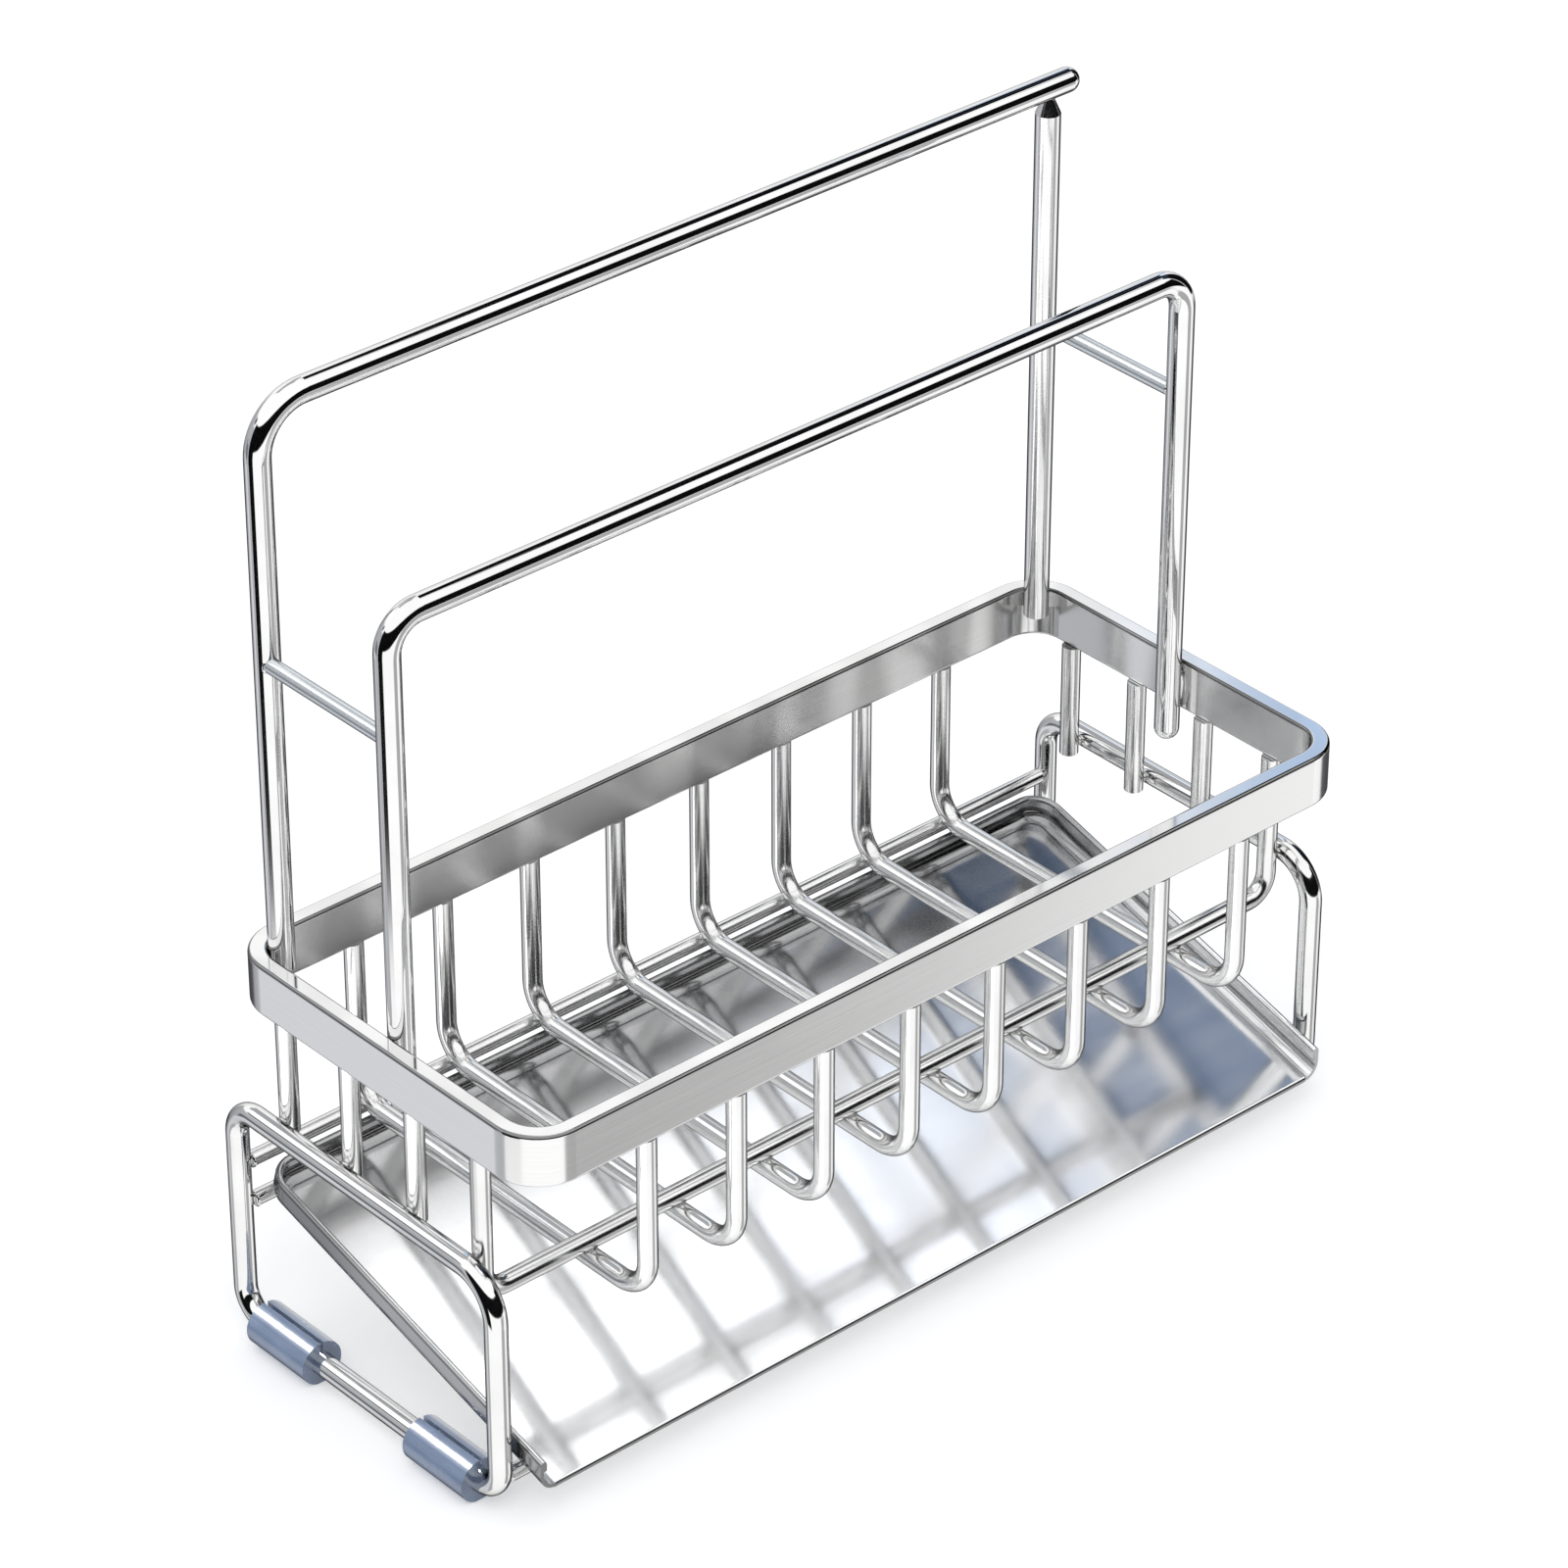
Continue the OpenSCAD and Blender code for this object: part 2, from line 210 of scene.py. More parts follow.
def ray_is(tree, kind):
    """1 for the rays of one kind, such as those that the camera sends out, and 0 for the others."""
    return add_node(tree, "ShaderNodeLightPath").outputs["Is %s Ray" % kind]


def object_place(tree):
    """The surface point in the object's own frame."""
    return add_node(tree, "ShaderNodeTexCoord").outputs["Object"]


def outward(tree, middle):
    """How far a face looks away from the piece's middle, in metres: above 0 outside, below 0 inside."""
    coord = add_node(tree, "ShaderNodeTexCoord")
    arm = add_node(tree, "ShaderNodeVectorMath", operation="SUBTRACT")
    set_inputs(tree, arm, {0: coord.outputs["Object"], 1: middle})
    return dot_product(tree, arm.outputs[0], coord.outputs["Normal"])


def upward(tree):
    """Height part of the surface's normal in the piece's own frame: 1 on a level top."""
    return axis_of(tree, add_node(tree, "ShaderNodeTexCoord").outputs["Normal"], "Z")


def grain(tree, place, scale, stretch=(1, 1, 1), detail=3.0):
    """Noise that becomes lines where the stretch differs by axis, as drawing and rolling leave in metal."""
    mapping = add_node(tree, "ShaderNodeMapping")
    set_inputs(tree, mapping, {"Vector": place, "Scale": stretch})
    made = add_node(tree, "ShaderNodeTexNoise")
    set_inputs(tree, made, {"Vector": mapping.outputs[0], "Scale": scale, "Detail": detail,
                            "Roughness": 0.55})
    return made.outputs["Fac"]


def painted_crevice_shade(tree, reach, open_part, closed_part, depth):
    """Painted shade: a tone that falls from 1 to the given depth where other surfaces are near, as under the
    basket.
    """
    near = add_node(tree, "ShaderNodeAmbientOcclusion", samples=8)
    set_inputs(tree, near, {"Distance": reach})
    return spread(tree, near.outputs["AO"], (closed_part, open_part), depth, 1.0)


def relief(tree, height, strength, distance):
    """Surface direction over a fine relief."""
    made = add_node(tree, "ShaderNodeBump")
    set_inputs(tree, made, {"Strength": strength, "Distance": distance, "Height": height})
    return made.outputs[0]


def metal(tree, colour, roughness, normal, dark_edge):
    """A metal surface. With dark_edge below 1 it looks darker at a grazing angle."""
    shader = add_node(tree, "ShaderNodeBsdfPrincipled")
    set_inputs(tree, shader, {"Base Color": colour, "Roughness": roughness, "Metallic": 1.0,
                              "Specular Tint": (dark_edge, dark_edge, dark_edge, 1.0), "Normal": normal})
    link_output(tree, shader)


# Finishes, one material each

def polished_wire(name, colour, roughness, haze, dark_edge):
    """Electropolished wire: drawing lines, faint pits and a haze that comes and goes along it."""
    cloud_shade = 0.93
    pit_haze = haze * 0.6
    material, tree = new_material(name)
    place = object_place(tree)
    clouds = grain(tree, place, scale=60.0, detail=4.0)
    pits = grain(tree, place, scale=1400.0, detail=2.0)
    lines = grain(tree, place, scale=700.0, stretch=(1, 1, 0.35))
    cloudy = spread(tree, clouds, TINT_LIMITS)
    tint = blend_colours(tree, cloudy, shade_of(colour), shade_of(colour, cloud_shade))
    hazy = spread(tree, clouds, HAZE_LIMITS, roughness, roughness + haze)
    pitted = spread(tree, pits, PIT_LIMITS, 0.0, pit_haze)
    rough = arithmetic(tree, "ADD", hazy, pitted)
    drawn = relief(tree, lines, strength=0.02, distance=0.01 * MM)
    metal(tree, tint, rough, drawn, dark_edge)
    return material


def satin_strip(name, colour, roughness, middle):
    """Flat strip with a faint lengthwise grain, a painted dark reflection line along its rounded long edges
    and painted streaky shade on its inside.
    """
    darker = 0.98
    lighter = 1.02
    # Painted shade inside the rim: the faces it reaches and the tone of its darkest streaks
    inside_limits = (-20 * MM, 20 * MM)
    inside_shade_tone = 0.68
    round_limits = (0.15, 0.45)
    flat_limits = (0.94, 0.99)
    # Tone of the painted dark reflection line on the rounded long edges
    painted_edge_line_tone = 0.3
    edge_roughness = 0.08
    swing = 0.015
    material, tree = new_material(name)
    place = object_place(tree)
    lines = grain(tree, place, scale=140.0, stretch=(0.12, 0.12, 20), detail=4.0)
    fine = grain(tree, place, scale=420.0, stretch=(0.2, 0.2, 14), detail=2.0)
    # Noise for the painted streaky shade inside the rim
    shade_streak_noise = grain(tree, place, scale=75.0, stretch=(1, 1, 0.2), detail=1.0)
    streaks = weighted(tree, ((lines, 0.5), (fine, 0.5)))
    worn = spread(tree, streaks, WORN_LIMITS)
    tint = blend_colours(tree, worn, shade_of(colour, darker), shade_of(colour, lighter))
    # Painted shade with painted reflection streaks: the rim's inside faces are darkened in soft streaks.
    inside = spread(tree, outward(tree, middle), inside_limits, 1.0, 0.0)
    painted_inside_shade = spread(tree, shade_streak_noise, SHADE_STREAK_LIMITS, inside_shade_tone, 1.0)
    tint = toned(tree, tint, blend_values(tree, inside, 1.0, painted_inside_shade))
    rise = upward(tree)
    turned_up = spread(tree, rise, round_limits)
    # Painted dark reflection: the rounding between the top and the sides is darkened to a thin dark line.
    rounded = arithmetic(tree, "MULTIPLY", turned_up, spread(tree, rise, flat_limits, 1.0, 0.0))
    tint = toned(tree, tint, blend_values(tree, rounded, 1.0, painted_edge_line_tone))
    satin = spread(tree, streaks, EVEN_LIMITS, roughness - swing, roughness + swing)
    rough = blend_values(tree, turned_up, satin, edge_roughness)
    brushed = relief(tree, streaks, strength=0.04, distance=0.02 * MM)
    metal(tree, tint, rough, brushed, dark_edge=0.5)
    return material


def pressed_sheet(name, colour, roughness, middle):
    """Thin bright sheet: soft waves from the press, rolling lines and a light haze.

    Painted shade darkens the outsides of its lips. To the camera it also has painted shade under the basket
    and on its rear half.
    """
    cloud_shade = 0.97
    cloud_haze = 0.03
    line_haze = 0.02
    # Painted shade on the outsides of the lips: where it starts and its tone
    lip_limits = (15 * MM, 30 * MM)
    lip_shade_tone = 0.55
    # Painted shade: the tray darkens towards its rear over this length, down to this tone.
    rear_fade = 26 * MM
    rear_shade_tone = 0.55
    material, tree = new_material(name)
    place = object_place(tree)
    waves = grain(tree, place, scale=16.0, detail=1.5)
    rolled = grain(tree, place, scale=260.0, stretch=(0.05, 1, 1))
    clouds = grain(tree, place, scale=28.0, detail=4.0)
    cloudy = spread(tree, clouds, TINT_LIMITS)
    tint = blend_colours(tree, cloudy, shade_of(colour), shade_of(colour, cloud_shade))
    hazy = spread(tree, clouds, HAZE_LIMITS, roughness, roughness + cloud_haze)
    rough = arithmetic(tree, "ADD", hazy, spread(tree, rolled, TINT_LIMITS, 0.0, line_haze))
    height = weighted(tree, ((waves, 0.8), (rolled, 0.05)))
    # Painted shade: faces that look away from the tray's middle, the outsides of its lips, are darkened.
    outside = spread(tree, outward(tree, middle), lip_limits, 1.0, lip_shade_tone)
    # Painted shade, to the camera only: darker where other surfaces are near, under the basket, and towards
    # the rear half.
    under = painted_crevice_shade(tree, reach=45 * MM, open_part=0.68, closed_part=0.2, depth=0.22)
    rear = spread(tree, axis_of(tree, place, "Y"), (middle.y, middle.y + rear_fade), 1.0, rear_shade_tone)
    shadow = arithmetic(tree, "MULTIPLY", under, rear)
    shade = blend_values(tree, ray_is(tree, "Camera"), 1.0, shadow)
    tint = toned(tree, toned(tree, tint, outside), shade)
    pressed = relief(tree, height, strength=0.25, distance=0.1 * MM)
    metal(tree, tint, rough, pressed, dark_edge=0.7)
    return material


def soft_sleeve(name, colour, roughness):
    """Glossy soft plastic: mould lines along it, dust in the low places and a slightly uneven skin."""
    dust_shade = 0.88
    clean_shade = 1.12
    smoother = 0.03
    rougher = 0.05
    material, tree = new_material(name)
    place = object_place(tree)
    clouds = grain(tree, place, scale=220.0, stretch=(1, 0.4, 1), detail=4.0)
    skin = grain(tree, place, scale=900.0, stretch=(1, 0.25, 1))
    dusty = spread(tree, clouds, EVEN_LIMITS)
    tint = blend_colours(tree, dusty, shade_of(colour, dust_shade), shade_of(colour, clean_shade))
    rough = spread(tree, clouds, EVEN_LIMITS, roughness - smoother, roughness + rougher)
    uneven = relief(tree, skin, strength=0.12, distance=0.08 * MM)
    shader = add_node(tree, "ShaderNodeBsdfPrincipled")
    set_inputs(tree, shader, {"Base Color": tint, "Roughness": rough, "Specular IOR Level": 0.9,
                              "Coat Weight": 1.0, "Coat Roughness": 0.15, "Normal": uneven})
    link_output(tree, shader)
    return material


def pale_floor(name, colour):
    """Matt floor that reads as white to the camera and keeps the holder's shadow."""
    mottle_shade = 0.99
    camera_glow = 0.30
    material, tree = new_material(name)
    mottle = grain(tree, object_place(tree), scale=4.0, detail=2.0)
    mottled = spread(tree, mottle, EVEN_LIMITS)
    tint = blend_colours(tree, mottled, shade_of(colour), shade_of(colour, mottle_shade))
    matt = add_node(tree, "ShaderNodeBsdfDiffuse")
    set_inputs(tree, matt, {"Color": tint})
    lift = add_node(tree, "ShaderNodeEmission")
    glow = arithmetic(tree, "MULTIPLY", ray_is(tree, "Camera"), camera_glow)
    set_inputs(tree, lift, {"Color": WHITE, "Strength": glow})
    both = add_node(tree, "ShaderNodeAddShader")
    set_inputs(tree, both, {0: matt.outputs[0], 1: lift.outputs[0]})
    link_output(tree, both)
    return material


def apply_finish(nodes, material):
    """Gives CAD nodes their material."""
    for node in nodes:
        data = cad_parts[node].data
        data.materials.clear()
        data.materials.append(material)


# Weld beads

def bead(mesh, place, along, across, size, seed):
    """Adds one lumpy weld bead. along and across are directions, size the three half sizes in metres."""
    x = Vector(along).normalized()
    z = x.cross(Vector(across)).normalized()
    y = z.cross(x)
    turn = Matrix((x, y, z)).transposed()
    ball = bmesh.ops.create_icosphere(mesh, subdivisions=3, radius=1.0)["verts"]
    shift = Vector([seed * step for step in LUMP_STEP])
    for point in ball:
        lump = 1.0 + LUMP_HEIGHT * noise.noise(point.co * LUMP_FINENESS + shift)
        sized = Vector((point.co.x * size[0], point.co.y * size[1], point.co.z * size[2]))
        point.co = turn @ (sized * lump) + Vector(place)


def bead_piece(name, beads, material):
    """Makes one piece out of a list of beads, riding on the holder."""
    mesh = bmesh.new()
    for number, (place, along, across, size) in enumerate(beads):
        bead(mesh, place, along, across, size, number)
    data = bpy.data.meshes.new(name)
    mesh.to_mesh(data)
    mesh.free()
    for face in data.polygons:
        face.use_smooth = True
    made = bpy.data.objects.new(name, data)
    bpy.context.scene.collection.objects.link(made)
    data.materials.append(material)
    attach(made, "holder")


# Sizes and colours that the panel shows

class HolderColours(bpy.types.PropertyGroup):
    """Colours and gloss of the holder's finishes."""
    hanger_colour: bpy.props.FloatVectorProperty(
        name="Hanger wire", description="Reflection colour of the bright hanger wire",
        default=(0.95, 0.95, 0.95), min=0.0, max=1.0, subtype="COLOR")
    hanger_roughness: bpy.props.FloatProperty(
        name="Hanger roughness", description="Blur of the reflections on the hangers",
        default=0.04, min=0.0, max=1.0, subtype="FACTOR")
    leg_roughness: bpy.props.FloatProperty(
        name="Rear leg roughness", description="Blur of the reflections on the rear hanger's right leg",
        default=0.12, min=0.0, max=1.0, subtype="FACTOR")
    tie_colour: bpy.props.FloatVectorProperty(
        name="Tie rods", description="Reflection colour of the tie rods between the hangers",
        default=(0.93, 0.97, 1.0), min=0.0, max=1.0, subtype="COLOR")
    tie_roughness: bpy.props.FloatProperty(
        name="Tie roughness", description="Blur of the reflections on the tie rods",
        default=0.24, min=0.0, max=1.0, subtype="FACTOR")
    basket_colour: bpy.props.FloatVectorProperty(
        name="Basket wire", description="Reflection colour of the basket wires, side frames and rails",
        default=(0.94, 0.94, 0.935), min=0.0, max=1.0, subtype="COLOR")
    basket_roughness: bpy.props.FloatProperty(
        name="Basket roughness", description="Blur of the reflections on the basket wires",
        default=0.16, min=0.0, max=1.0, subtype="FACTOR")
    frame_roughness: bpy.props.FloatProperty(
        name="Frame roughness", description="Blur of the reflections on the side frames and rails",
        default=0.07, min=0.0, max=1.0, subtype="FACTOR")
    rim_colour: bpy.props.FloatVectorProperty(
        name="Rim strip", description="Reflection colour of the satin rim",
        default=(0.93, 0.93, 0.925), min=0.0, max=1.0, subtype="COLOR")
    rim_roughness: bpy.props.FloatProperty(
        name="Rim roughness", description="Blur of the reflections on the rim",
        default=0.15, min=0.0, max=1.0, subtype="FACTOR")
    tray_colour: bpy.props.FloatVectorProperty(
        name="Tray sheet", description="Reflection colour of the tray's sheet",
        default=(0.955, 0.96, 0.97), min=0.0, max=1.0, subtype="COLOR")
    tray_roughness: bpy.props.FloatProperty(
        name="Tray roughness", description="Blur of the reflections in the tray",
        default=0.12, min=0.0, max=1.0, subtype="FACTOR")
    sleeve_colour: bpy.props.FloatVectorProperty(
        name="Foot sleeves", description="Colour of the soft foot sleeves",
        default=(0.155, 0.21, 0.32), min=0.0, max=1.0, subtype="COLOR")
    sleeve_roughness: bpy.props.FloatProperty(
        name="Sleeve roughness", description="Dullness of the soft foot sleeves",
        default=0.24, min=0.0, max=1.0, subtype="FACTOR")


class HolderStudio(bpy.types.PropertyGroup):
    """Camera, floor and lamps around the holder."""
    camera_place: bpy.props.FloatVectorProperty(
        name="Camera place", description="Where the camera stands",
        default=(-0.69627, -0.78063, 0.76085), subtype="XYZ", unit="LENGTH")
    camera_azimuth: bpy.props.FloatProperty(
        name="Camera azimuth", description="Turn of the camera from looking straight back",
        default=math.radians(-41.54), subtype="ANGLE", unit="ROTATION")
    camera_drop: bpy.props.FloatProperty(
        name="Camera drop", description="How far the camera looks down from level",
        default=math.radians(32.27), subtype="ANGLE", unit="ROTATION")
    lens: bpy.props.FloatProperty(
        name="Lens", description="Focal length for a 36 mm sensor, in millimetres",
        default=148.53, min=20.0, max=400.0)
    floor_size: bpy.props.FloatProperty(
        name="Floor size", description="Side of the square floor",
        default=12.0, min=1.0, max=50.0, unit="LENGTH")
    floor_colour: bpy.props.FloatVectorProperty(
        name="Floor", description="Colour of the floor",
        default=(0.93, 0.93, 0.93), min=0.0, max=1.0, subtype="COLOR")
    lamp_place: bpy.props.FloatVectorProperty(
        name="Lamp place", description="Where the soft lamp hangs, above the front left",
        default=(-0.55, -0.65, 1.25), subtype="XYZ", unit="LENGTH")
    lamp_size: bpy.props.FloatProperty(
        name="Lamp size", description="Side of the square soft lamp",
        default=0.9, min=0.05, max=4.0, unit="LENGTH")
    lamp_power: bpy.props.FloatProperty(
        name="Lamp power", description="Power of the soft lamp above the front left",
        default=3.2, min=0.0, max=100.0, unit="POWER")
    gloss_place: bpy.props.FloatVectorProperty(
        name="Sleeve lamp place", description="Where the lamp hangs that draws the highlight on the sleeves",
        default=(-0.42, 0.76, 0.88), subtype="XYZ", unit="LENGTH")
    gloss_size: bpy.props.FloatProperty(
        name="Sleeve lamp size", description="Side of the square lamp for the sleeves' highlight",
        default=0.34, min=0.05, max=4.0, unit="LENGTH")
    gloss_power: bpy.props.FloatProperty(
        name="Sleeve lamp power", description="Power of the lamp for the sleeves' highlight",
        default=8.0, min=0.0, max=100.0, unit="POWER")
    glow_place: bpy.props.FloatVectorProperty(
        name="Tray lamp place", description="Where the lamp hangs that brightens the front of the tray",
        default=(0.544, 0.193, 1.037), subtype="XYZ", unit="LENGTH")
    glow_size: bpy.props.FloatProperty(
        name="Tray lamp size", description="Side of the square lamp for the tray",
        default=0.35, min=0.05, max=4.0, unit="LENGTH")
    glow_power: bpy.props.FloatProperty(
        name="Tray lamp power", description="Power of the lamp for the tray",
        default=0.45, min=0.0, max=100.0, unit="POWER")
    blue_place: bpy.props.FloatVectorProperty(
        name="Blue lamp place", description="Where the weak blue lamp hangs that tints the tray's right end",
        default=(0.794, 0.188, 0.969), subtype="XYZ", unit="LENGTH")
    blue_colour: bpy.props.FloatVectorProperty(
        name="Blue lamp colour", description="Colour of the lamp that tints the tray's right end",
        default=(0.45, 0.64, 1.0), min=0.0, max=1.0, subtype="COLOR")
    blue_size: bpy.props.FloatProperty(
        name="Blue lamp size", description="Side of the square blue lamp",
        default=0.30, min=0.05, max=4.0, unit="LENGTH")
    blue_power: bpy.props.FloatProperty(
        name="Blue lamp power", description="Power of the blue lamp",
        default=0.075, min=0.0, max=100.0, unit="POWER")
    fill_place: bpy.props.FloatVectorProperty(
        name="Basket lamp place",
        description="Where the low lamp stands that fills the basket wires' dark side",
        default=(-0.600, -0.045, -0.30), subtype="XYZ", unit="LENGTH")
    fill_size: bpy.props.FloatProperty(
        name="Basket lamp size", description="Side of the square lamp for the basket wires",
        default=0.70, min=0.05, max=4.0, unit="LENGTH")
    fill_power: bpy.props.FloatProperty(
        name="Basket lamp power", description="Power of the lamp for the basket wires",
        default=2.0, min=0.0, max=100.0, unit="POWER")


class HolderWelds(bpy.types.PropertyGroup):
    """Sizes of the weld beads."""
    cross_weld: bpy.props.FloatVectorProperty(
        name="Crossing bead", description="Half sizes of a bead where two wires cross",
        default=(1.5 * MM, 1.2 * MM, 0.55 * MM), subtype="XYZ", unit="LENGTH")
    end_weld: bpy.props.FloatVectorProperty(
        name="End bead", description="Half sizes of a bead where a wire's end butts on a frame",
        default=(1.9 * MM, 1.6 * MM, 0.45 * MM), subtype="XYZ", unit="LENGTH")
    tie_weld: bpy.props.FloatVectorProperty(
        name="Tie bead", description="Half sizes of a bead at an end of a tie rod",
        default=(1.8 * MM, 1.8 * MM, 0.7 * MM), subtype="XYZ", unit="LENGTH")
    tie_inset: bpy.props.FloatProperty(
        name="Tie bead inset", description="How far a tie rod's bead sits in from the rod's end",
        default=0.3 * MM, min=0.0, max=3 * MM, unit="LENGTH")
    rim_weld: bpy.props.FloatVectorProperty(
        name="Rim bead", description="Half sizes of a bead that runs up the rim beside a front hanger's leg",
        default=(3.6 * MM, 0.8 * MM, 0.55 * MM), subtype="XYZ", unit="LENGTH")
    rim_spread: bpy.props.FloatProperty(
        name="Rim bead spread", description="How far each rim bead is from the leg's middle",
        default=1.25 * MM, min=0.0, max=5 * MM, unit="LENGTH")
    rim_inset: bpy.props.FloatProperty(
        name="Rim bead inset", description="How far each rim bead is inside the leg's outer side",
        default=0.35 * MM, min=0.0, max=3 * MM, unit="LENGTH")
    cross_bend: bpy.props.FloatProperty(
        name="Cross wire bend", description="Middle-line bend radius of the basket's U-shaped wires",
        default=8 * MM, min=2 * MM, max=20 * MM, unit="LENGTH")


# Steps, one for each group of pieces

class HOLDER_OT_rim(bpy.types.Operator):
    """Finish the flat strip rim in satin steel"""
    bl_idname = "holder.rim"
    bl_label = "Rim strip"

    def execute(self, context):
        colours = context.scene.holder_colours
        middle = own_middle("rim_band")
        satin = satin_strip("satin_strip", colours.rim_colour, colours.rim_roughness, middle)
        apply_finish(["rim_band"], satin)
        return {"FINISHED"}


class HOLDER_OT_basket(bpy.types.Operator):
    """Finish the basket's wires and weld them where they cross"""
    bl_idname = "holder.basket"
    bl_label = "Basket wires"

    def execute(self, context):
        colours = context.scene.holder_colours
        welds = context.scene.holder_welds
        wire = polished_wire("basket_wire", colours.basket_colour, colours.basket_roughness,
                             haze=0.03, dark_edge=0.1)
        apply_finish(CROSS_WIRES + END_POSTS + FLOOR_WIRES, wire)
        cross_x = [centre(node).x for node in CROSS_WIRES]
        front = centre("front_floor_wire").y
        seam_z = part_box("front_floor_wire")[0].z
        beads = [((x, front, seam_z), (1, 0, 0), (0, 1, 0), welds.cross_weld) for x in cross_x]
        bead_piece("front_floor_welds", beads, wire)
        rear = centre("rear_floor_wire")
        radius = wire_radius("cross_wire_1", 0)
        low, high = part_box("cross_wire_1")
        bend = Vector((0, high.y - radius - welds.cross_bend, low.z + radius + welds.cross_bend))
        away = Vector((0, rear.y - bend.y, rear.z - bend.z)).normalized()
        seam = bend + away * (welds.cross_bend + radius)
        along_seam = (0, away.z, -away.y)
        beads = [((x, seam.y, seam.z), (1, 0, 0), along_seam, welds.cross_weld) for x in cross_x]
        bead_piece("rear_floor_welds", beads, wire)
        return {"FINISHED"}


class HOLDER_OT_frames(bpy.types.Operator):
    """Finish the side frames and cross rails and weld them to the end posts"""
    bl_idname = "holder.frames"
    bl_label = "Side frames and rails"

    def execute(self, context):
        colours = context.scene.holder_colours
        welds = context.scene.holder_welds
        wire = polished_wire("frame_wire", colours.basket_colour, colours.frame_roughness,
                             haze=0.03, dark_edge=0.15)
        apply_finish(SIDE_FRAMES + RAILS, wire)
        beads = []
        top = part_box("left_side_frame")[1].z - wire_radius("left_side_frame", 0)
        for node in END_POSTS:
            post = centre(node)
            side = 1 if post.x > 0 else -1
            seam_x = post.x + side * wire_radius(node, 0)
            beads.append(((seam_x, post.y, top), (0, 1, 0), (0, 0, 1), welds.cross_weld))
        for node in RAILS + ["rear_floor_wire"]:
            low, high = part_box(node)
            mid = (low + high) / 2
            for x in (low.x, high.x):
                beads.append(((x, mid.y, mid.z), (0, 1, 0), (0, 0, 1), welds.end_weld))
        bead_piece("frame_welds", beads, wire)
        return {"FINISHED"}


class HOLDER_OT_sleeves(bpy.types.Operator):
    """Finish the four slit foot sleeves in soft slate-blue plastic"""
    bl_idname = "holder.sleeves"
    bl_label = "Foot sleeves"

    def execute(self, context):
        colours = context.scene.holder_colours
        apply_finish(SLEEVES, soft_sleeve("foot_sleeve", colours.sleeve_colour, colours.sleeve_roughness))
        return {"FINISHED"}


class HOLDER_OT_hangers(bpy.types.Operator):
    """Finish the cloth hangers and their tie rods, and weld them together and to the rim"""
    bl_idname = "holder.hangers"
    bl_label = "Cloth hangers"

    def execute(self, context):
        colours = context.scene.holder_colours
        welds = context.scene.holder_welds
        wire = polished_wire("hanger_wire", colours.hanger_colour, colours.hanger_roughness,
                             haze=0.02, dark_edge=0.45)
        apply_finish(HANGERS, wire)
        leg = polished_wire("hanger_leg_wire", colours.hanger_colour, colours.leg_roughness,
                            haze=0.02, dark_edge=0.2)
        apply_finish([HANGER_LEG], leg)
        pale = polished_wire("hanger_tie_wire", colours.tie_colour, colours.tie_roughness,
                             haze=0.03, dark_edge=0.05)
        apply_finish(TIES, pale)
        beads = []
        rim_z = centre("rim_band").z
        hanger_low, hanger_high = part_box("front_hanger")
        for outer_x in (hanger_low.x + welds.rim_inset, hanger_high.x - welds.rim_inset):
            for y in (-welds.rim_spread, welds.rim_spread):
                beads.append(((outer_x, y, rim_z), (0, 0, 1), (0, 1, 0), welds.rim_weld))
        for node in TIES:
            low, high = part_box(node)
            mid = (low + high) / 2
            for y in (low.y + welds.tie_inset, high.y - welds.tie_inset):
                beads.append(((mid.x, y, mid.z), (1, 0, 0), (0, 0, 1), welds.tie_weld))
        bead_piece("hanger_welds", beads, wire)
        return {"FINISHED"}


class HOLDER_OT_tray(bpy.types.Operator):
    """Finish the sloping drip tray in bright pressed sheet"""
    bl_idname = "holder.tray"
    bl_label = "Drip tray"

    def execute(self, context):
        colours = context.scene.holder_colours
        middle = own_middle("drip_tray")
        sheet = pressed_sheet("tray_sheet", colours.tray_colour, colours.tray_roughness, middle)
        apply_finish(["drip_tray"], sheet)
        return {"FINISHED"}


# Studio

# What polished metal mirrors: a name, the limits of the turn and of the rise in degrees, the colour seen
# there, and the width of the soft edge. The turn counts from the back right and grows towards the front
# right, the rise counts from level. A card covers those above it in the list.
CARDS = [
    ("grey wall, back left", (-112, -38), (-60, 20), (0.45, 0.46, 0.48), 6),
    ("lighter board, back left", (-92, -72), (-60, -20), (0.74, 0.75, 0.78), 4),
    ("dusky board, left", (-104, -78), (-21, -4), (0.15, 0.16, 0.18), 4),
    ("dark bar, left", (-102, -79), (22, 30), (0.06, 0.07, 0.08), 4),
    ("grey ceiling at the back", (-56, -6), (38, 62), (0.38, 0.39, 0.41), 6),
    ("soft box, above the left", (-88, -58), (34, 51), (1.50, 1.52, 1.58), 4),
    ("grey floor at the right", (91, 122), (-60, -12), (0.42, 0.42, 0.42), 6),
    ("dusky floor behind", (-56, 62), (-66, -22), (0.12, 0.12, 0.13), 8),
    ("pale blue board, behind", (0.8, 14), (20, 36.5), (0.50, 0.66, 0.92), 2.5),
    ("black card, right", (24, 64), (-18, 40), (0.004, 0.004, 0.005), 3),
    ("black card, left", (-150, -112), (-33.4, -8), (0.004, 0.004, 0.004), 1.6),
    ("black band, front left", (-190, -112), (-10, 28), (0.003, 0.003, 0.004), 3),
    ("black band, front right", (66, 190), (-10, 28), (0.003, 0.003, 0.003), 3),
    ("black card, above the back right", (14, 50), (48, 57.4), (0.003, 0.003, 0.004), 1.5),
    ("black card, lower part", (1, 24), (38.5, 54.5), (0.004, 0.004, 0.005), 1.5),
    ("dark blue board, above the back right", (24, 62), (36, 50), (0.022, 0.033, 0.060), 1.5),
]


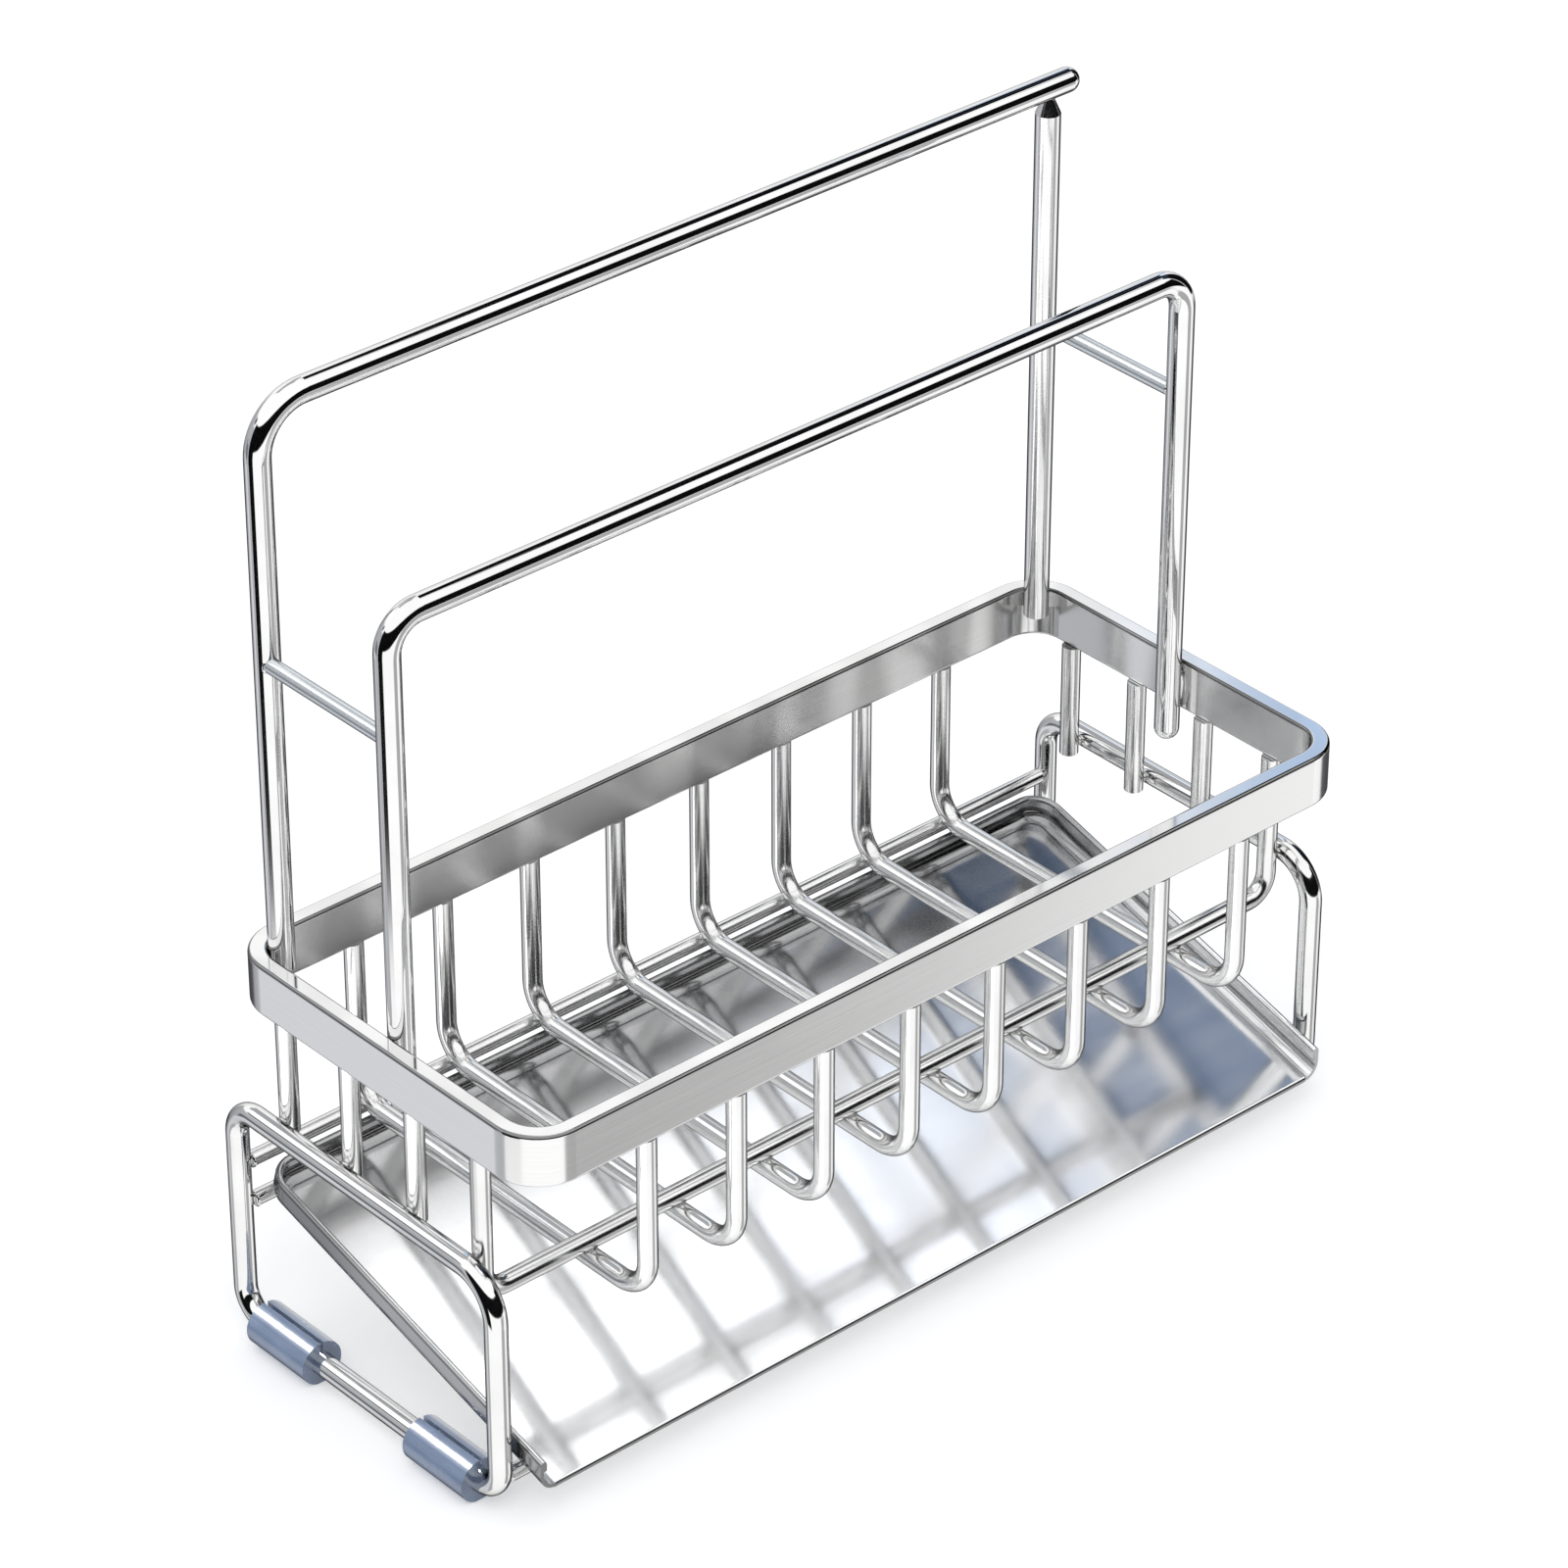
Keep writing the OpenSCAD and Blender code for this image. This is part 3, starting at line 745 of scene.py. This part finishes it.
def studio_world(name):
    """Pale world: white to the camera, even light on matt faces, and cards that polished metal mirrors."""
    world = bpy.data.worlds.new(name)
    world.use_nodes = True
    tree = world.node_tree
    tree.nodes.clear()
    direction = add_node(tree, "ShaderNodeTexCoord").outputs["Generated"]
    turn = arithmetic(tree, "ARCTAN2", dot_product(tree, direction, FRONT_RIGHT),
                      dot_product(tree, direction, BACK_RIGHT))
    rise = arithmetic(tree, "ARCSINE", axis_of(tree, direction, "Z"), 0.0)
    seen = BRIGHT
    for label, turn_limits, rise_limits, colour, edge in CARDS:
        half = math.radians(edge / 2)
        mask = None
        for value, limits in ((turn, turn_limits), (rise, rise_limits)):
            low, high = [math.radians(limit) for limit in limits]
            for fade in (spread(tree, value, (low - half, low + half)),
                         spread(tree, value, (high - half, high + half), 1.0, 0.0)):
                mask = fade if mask is None else arithmetic(tree, "MULTIPLY", mask, fade)
        seen = blend_colours(tree, mask, seen, tuple(colour) + (1.0,), label)
    even = blend_colours(tree, ray_is(tree, "Glossy"), EVEN_LIGHT, seen)
    shown = blend_colours(tree, ray_is(tree, "Camera"), even, WHITE)
    back = add_node(tree, "ShaderNodeBackground")
    set_inputs(tree, back, {"Color": shown, "Strength": 1.0})
    link_output(tree, back, "ShaderNodeOutputWorld")
    return world


def group_of(name, nodes):
    """A collection of CAD nodes, for the lamps that light only some pieces."""
    made = bpy.data.collections.new(name)
    for node in nodes:
        made.objects.link(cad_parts[node])
    return made


def soft_lamp(name, place, target, size, power, lit=()):
    """A square lamp that faces a node. It lights only the nodes in lit, or everything where lit is empty."""
    light = bpy.data.lights.new(name, "AREA")
    light.shape = "SQUARE"
    light.size = size
    light.energy = power
    lamp = bpy.data.objects.new(name, light)
    lamp.location = place
    aim = centre(target) - Vector(place)
    lamp.rotation_euler = aim.to_track_quat("-Z", "Y").to_euler()
    bpy.context.scene.collection.objects.link(lamp)
    if lit:
        lamp.light_linking.receiver_collection = group_of(name + "_lit", lit)
    return lamp


class HOLDER_OT_stage(bpy.types.Operator):
    """Set the pale floor, the soft lamps, the surroundings and the camera"""
    bl_idname = "holder.stage"
    bl_label = "Studio"

    def execute(self, context):
        studio = context.scene.holder_studio
        half = studio.floor_size / 2
        data = bpy.data.meshes.new("floor")
        corners = [(-half, -half, 0), (half, -half, 0), (half, half, 0), (-half, half, 0)]
        data.from_pydata(corners, [], [(0, 1, 2, 3)])
        floor = bpy.data.objects.new("floor", data)
        context.scene.collection.objects.link(floor)
        data.materials.append(pale_floor("pale_floor", studio.floor_colour))
        floor.visible_glossy = False

        soft = soft_lamp("soft_lamp", studio.lamp_place, "rim_band", studio.lamp_size, studio.lamp_power)
        soft.visible_glossy = False
        soft_lamp("sleeve_lamp", studio.gloss_place, "left_side_frame", studio.gloss_size,
                  studio.gloss_power, SLEEVES)
        soft_lamp("tray_lamp", studio.glow_place, "drip_tray", studio.glow_size,
                  studio.glow_power, ["drip_tray"])
        blue = soft_lamp("tray_blue_lamp", studio.blue_place, "drip_tray", studio.blue_size,
                         studio.blue_power, ["drip_tray"])
        blue.data.color = studio.blue_colour
        filled = CROSS_WIRES + END_POSTS + [HANGER_LEG]
        fill = soft_lamp("basket_lamp", studio.fill_place, "rim_band", studio.fill_size,
                         studio.fill_power, filled)
        fill.light_linking.blocker_collection = group_of("basket_lamp_blockers", SLEEVES)

        context.scene.world = studio_world("studio")

        turn = studio.camera_azimuth
        drop = studio.camera_drop
        ahead = Vector((-math.sin(turn) * math.cos(drop), math.cos(turn) * math.cos(drop), -math.sin(drop)))
        right = Vector((math.cos(turn), math.sin(turn), 0))
        up = right.cross(ahead)
        view = bpy.data.cameras.new("camera")
        view.sensor_width = SENSOR_WIDTH
        view.lens = studio.lens
        view.clip_start = NEAREST_SEEN
        view.clip_end = FARTHEST_SEEN
        camera = bpy.data.objects.new("camera", view)
        facing = Matrix((right, up, -ahead)).transposed()
        camera.matrix_world = Matrix.Translation(studio.camera_place) @ facing.to_4x4()
        context.scene.collection.objects.link(camera)
        context.scene.camera = camera
        context.scene.view_settings.view_transform = "Standard"
        return {"FINISHED"}


class HOLDER_PT_panel(bpy.types.Panel):
    """Lists the holder's pieces, sizes and colours"""
    bl_label = "Sponge Holder"
    bl_idname = "HOLDER_PT_panel"
    bl_space_type = "VIEW_3D"
    bl_region_type = "UI"
    bl_category = "Sponge Holder"

    def draw(self, context):
        for step in STEPS:
            self.layout.operator(step.bl_idname)
        for group in (context.scene.holder_colours, context.scene.holder_welds, context.scene.holder_studio):
            box = self.layout.box()
            for key in group.__annotations__:
                box.prop(group, key)


STEPS = (HOLDER_OT_rim, HOLDER_OT_basket, HOLDER_OT_frames, HOLDER_OT_sleeves, HOLDER_OT_hangers,
         HOLDER_OT_tray, HOLDER_OT_stage)
GROUPS = {"holder_colours": HolderColours, "holder_welds": HolderWelds, "holder_studio": HolderStudio}
CLASSES = tuple(GROUPS.values()) + STEPS + (HOLDER_PT_panel,)


def register():
    for made in CLASSES:
        bpy.utils.register_class(made)
    for name, group in GROUPS.items():
        setattr(bpy.types.Scene, name, bpy.props.PointerProperty(type=group))


def unregister():
    for name in GROUPS:
        delattr(bpy.types.Scene, name)
    for made in reversed(CLASSES):
        bpy.utils.unregister_class(made)


def main():
    register()
    for step in (bpy.ops.holder.rim, bpy.ops.holder.basket, bpy.ops.holder.frames, bpy.ops.holder.sleeves,
                 bpy.ops.holder.hangers, bpy.ops.holder.tray, bpy.ops.holder.stage):
        step()


if __name__ == "__main__":
    main()
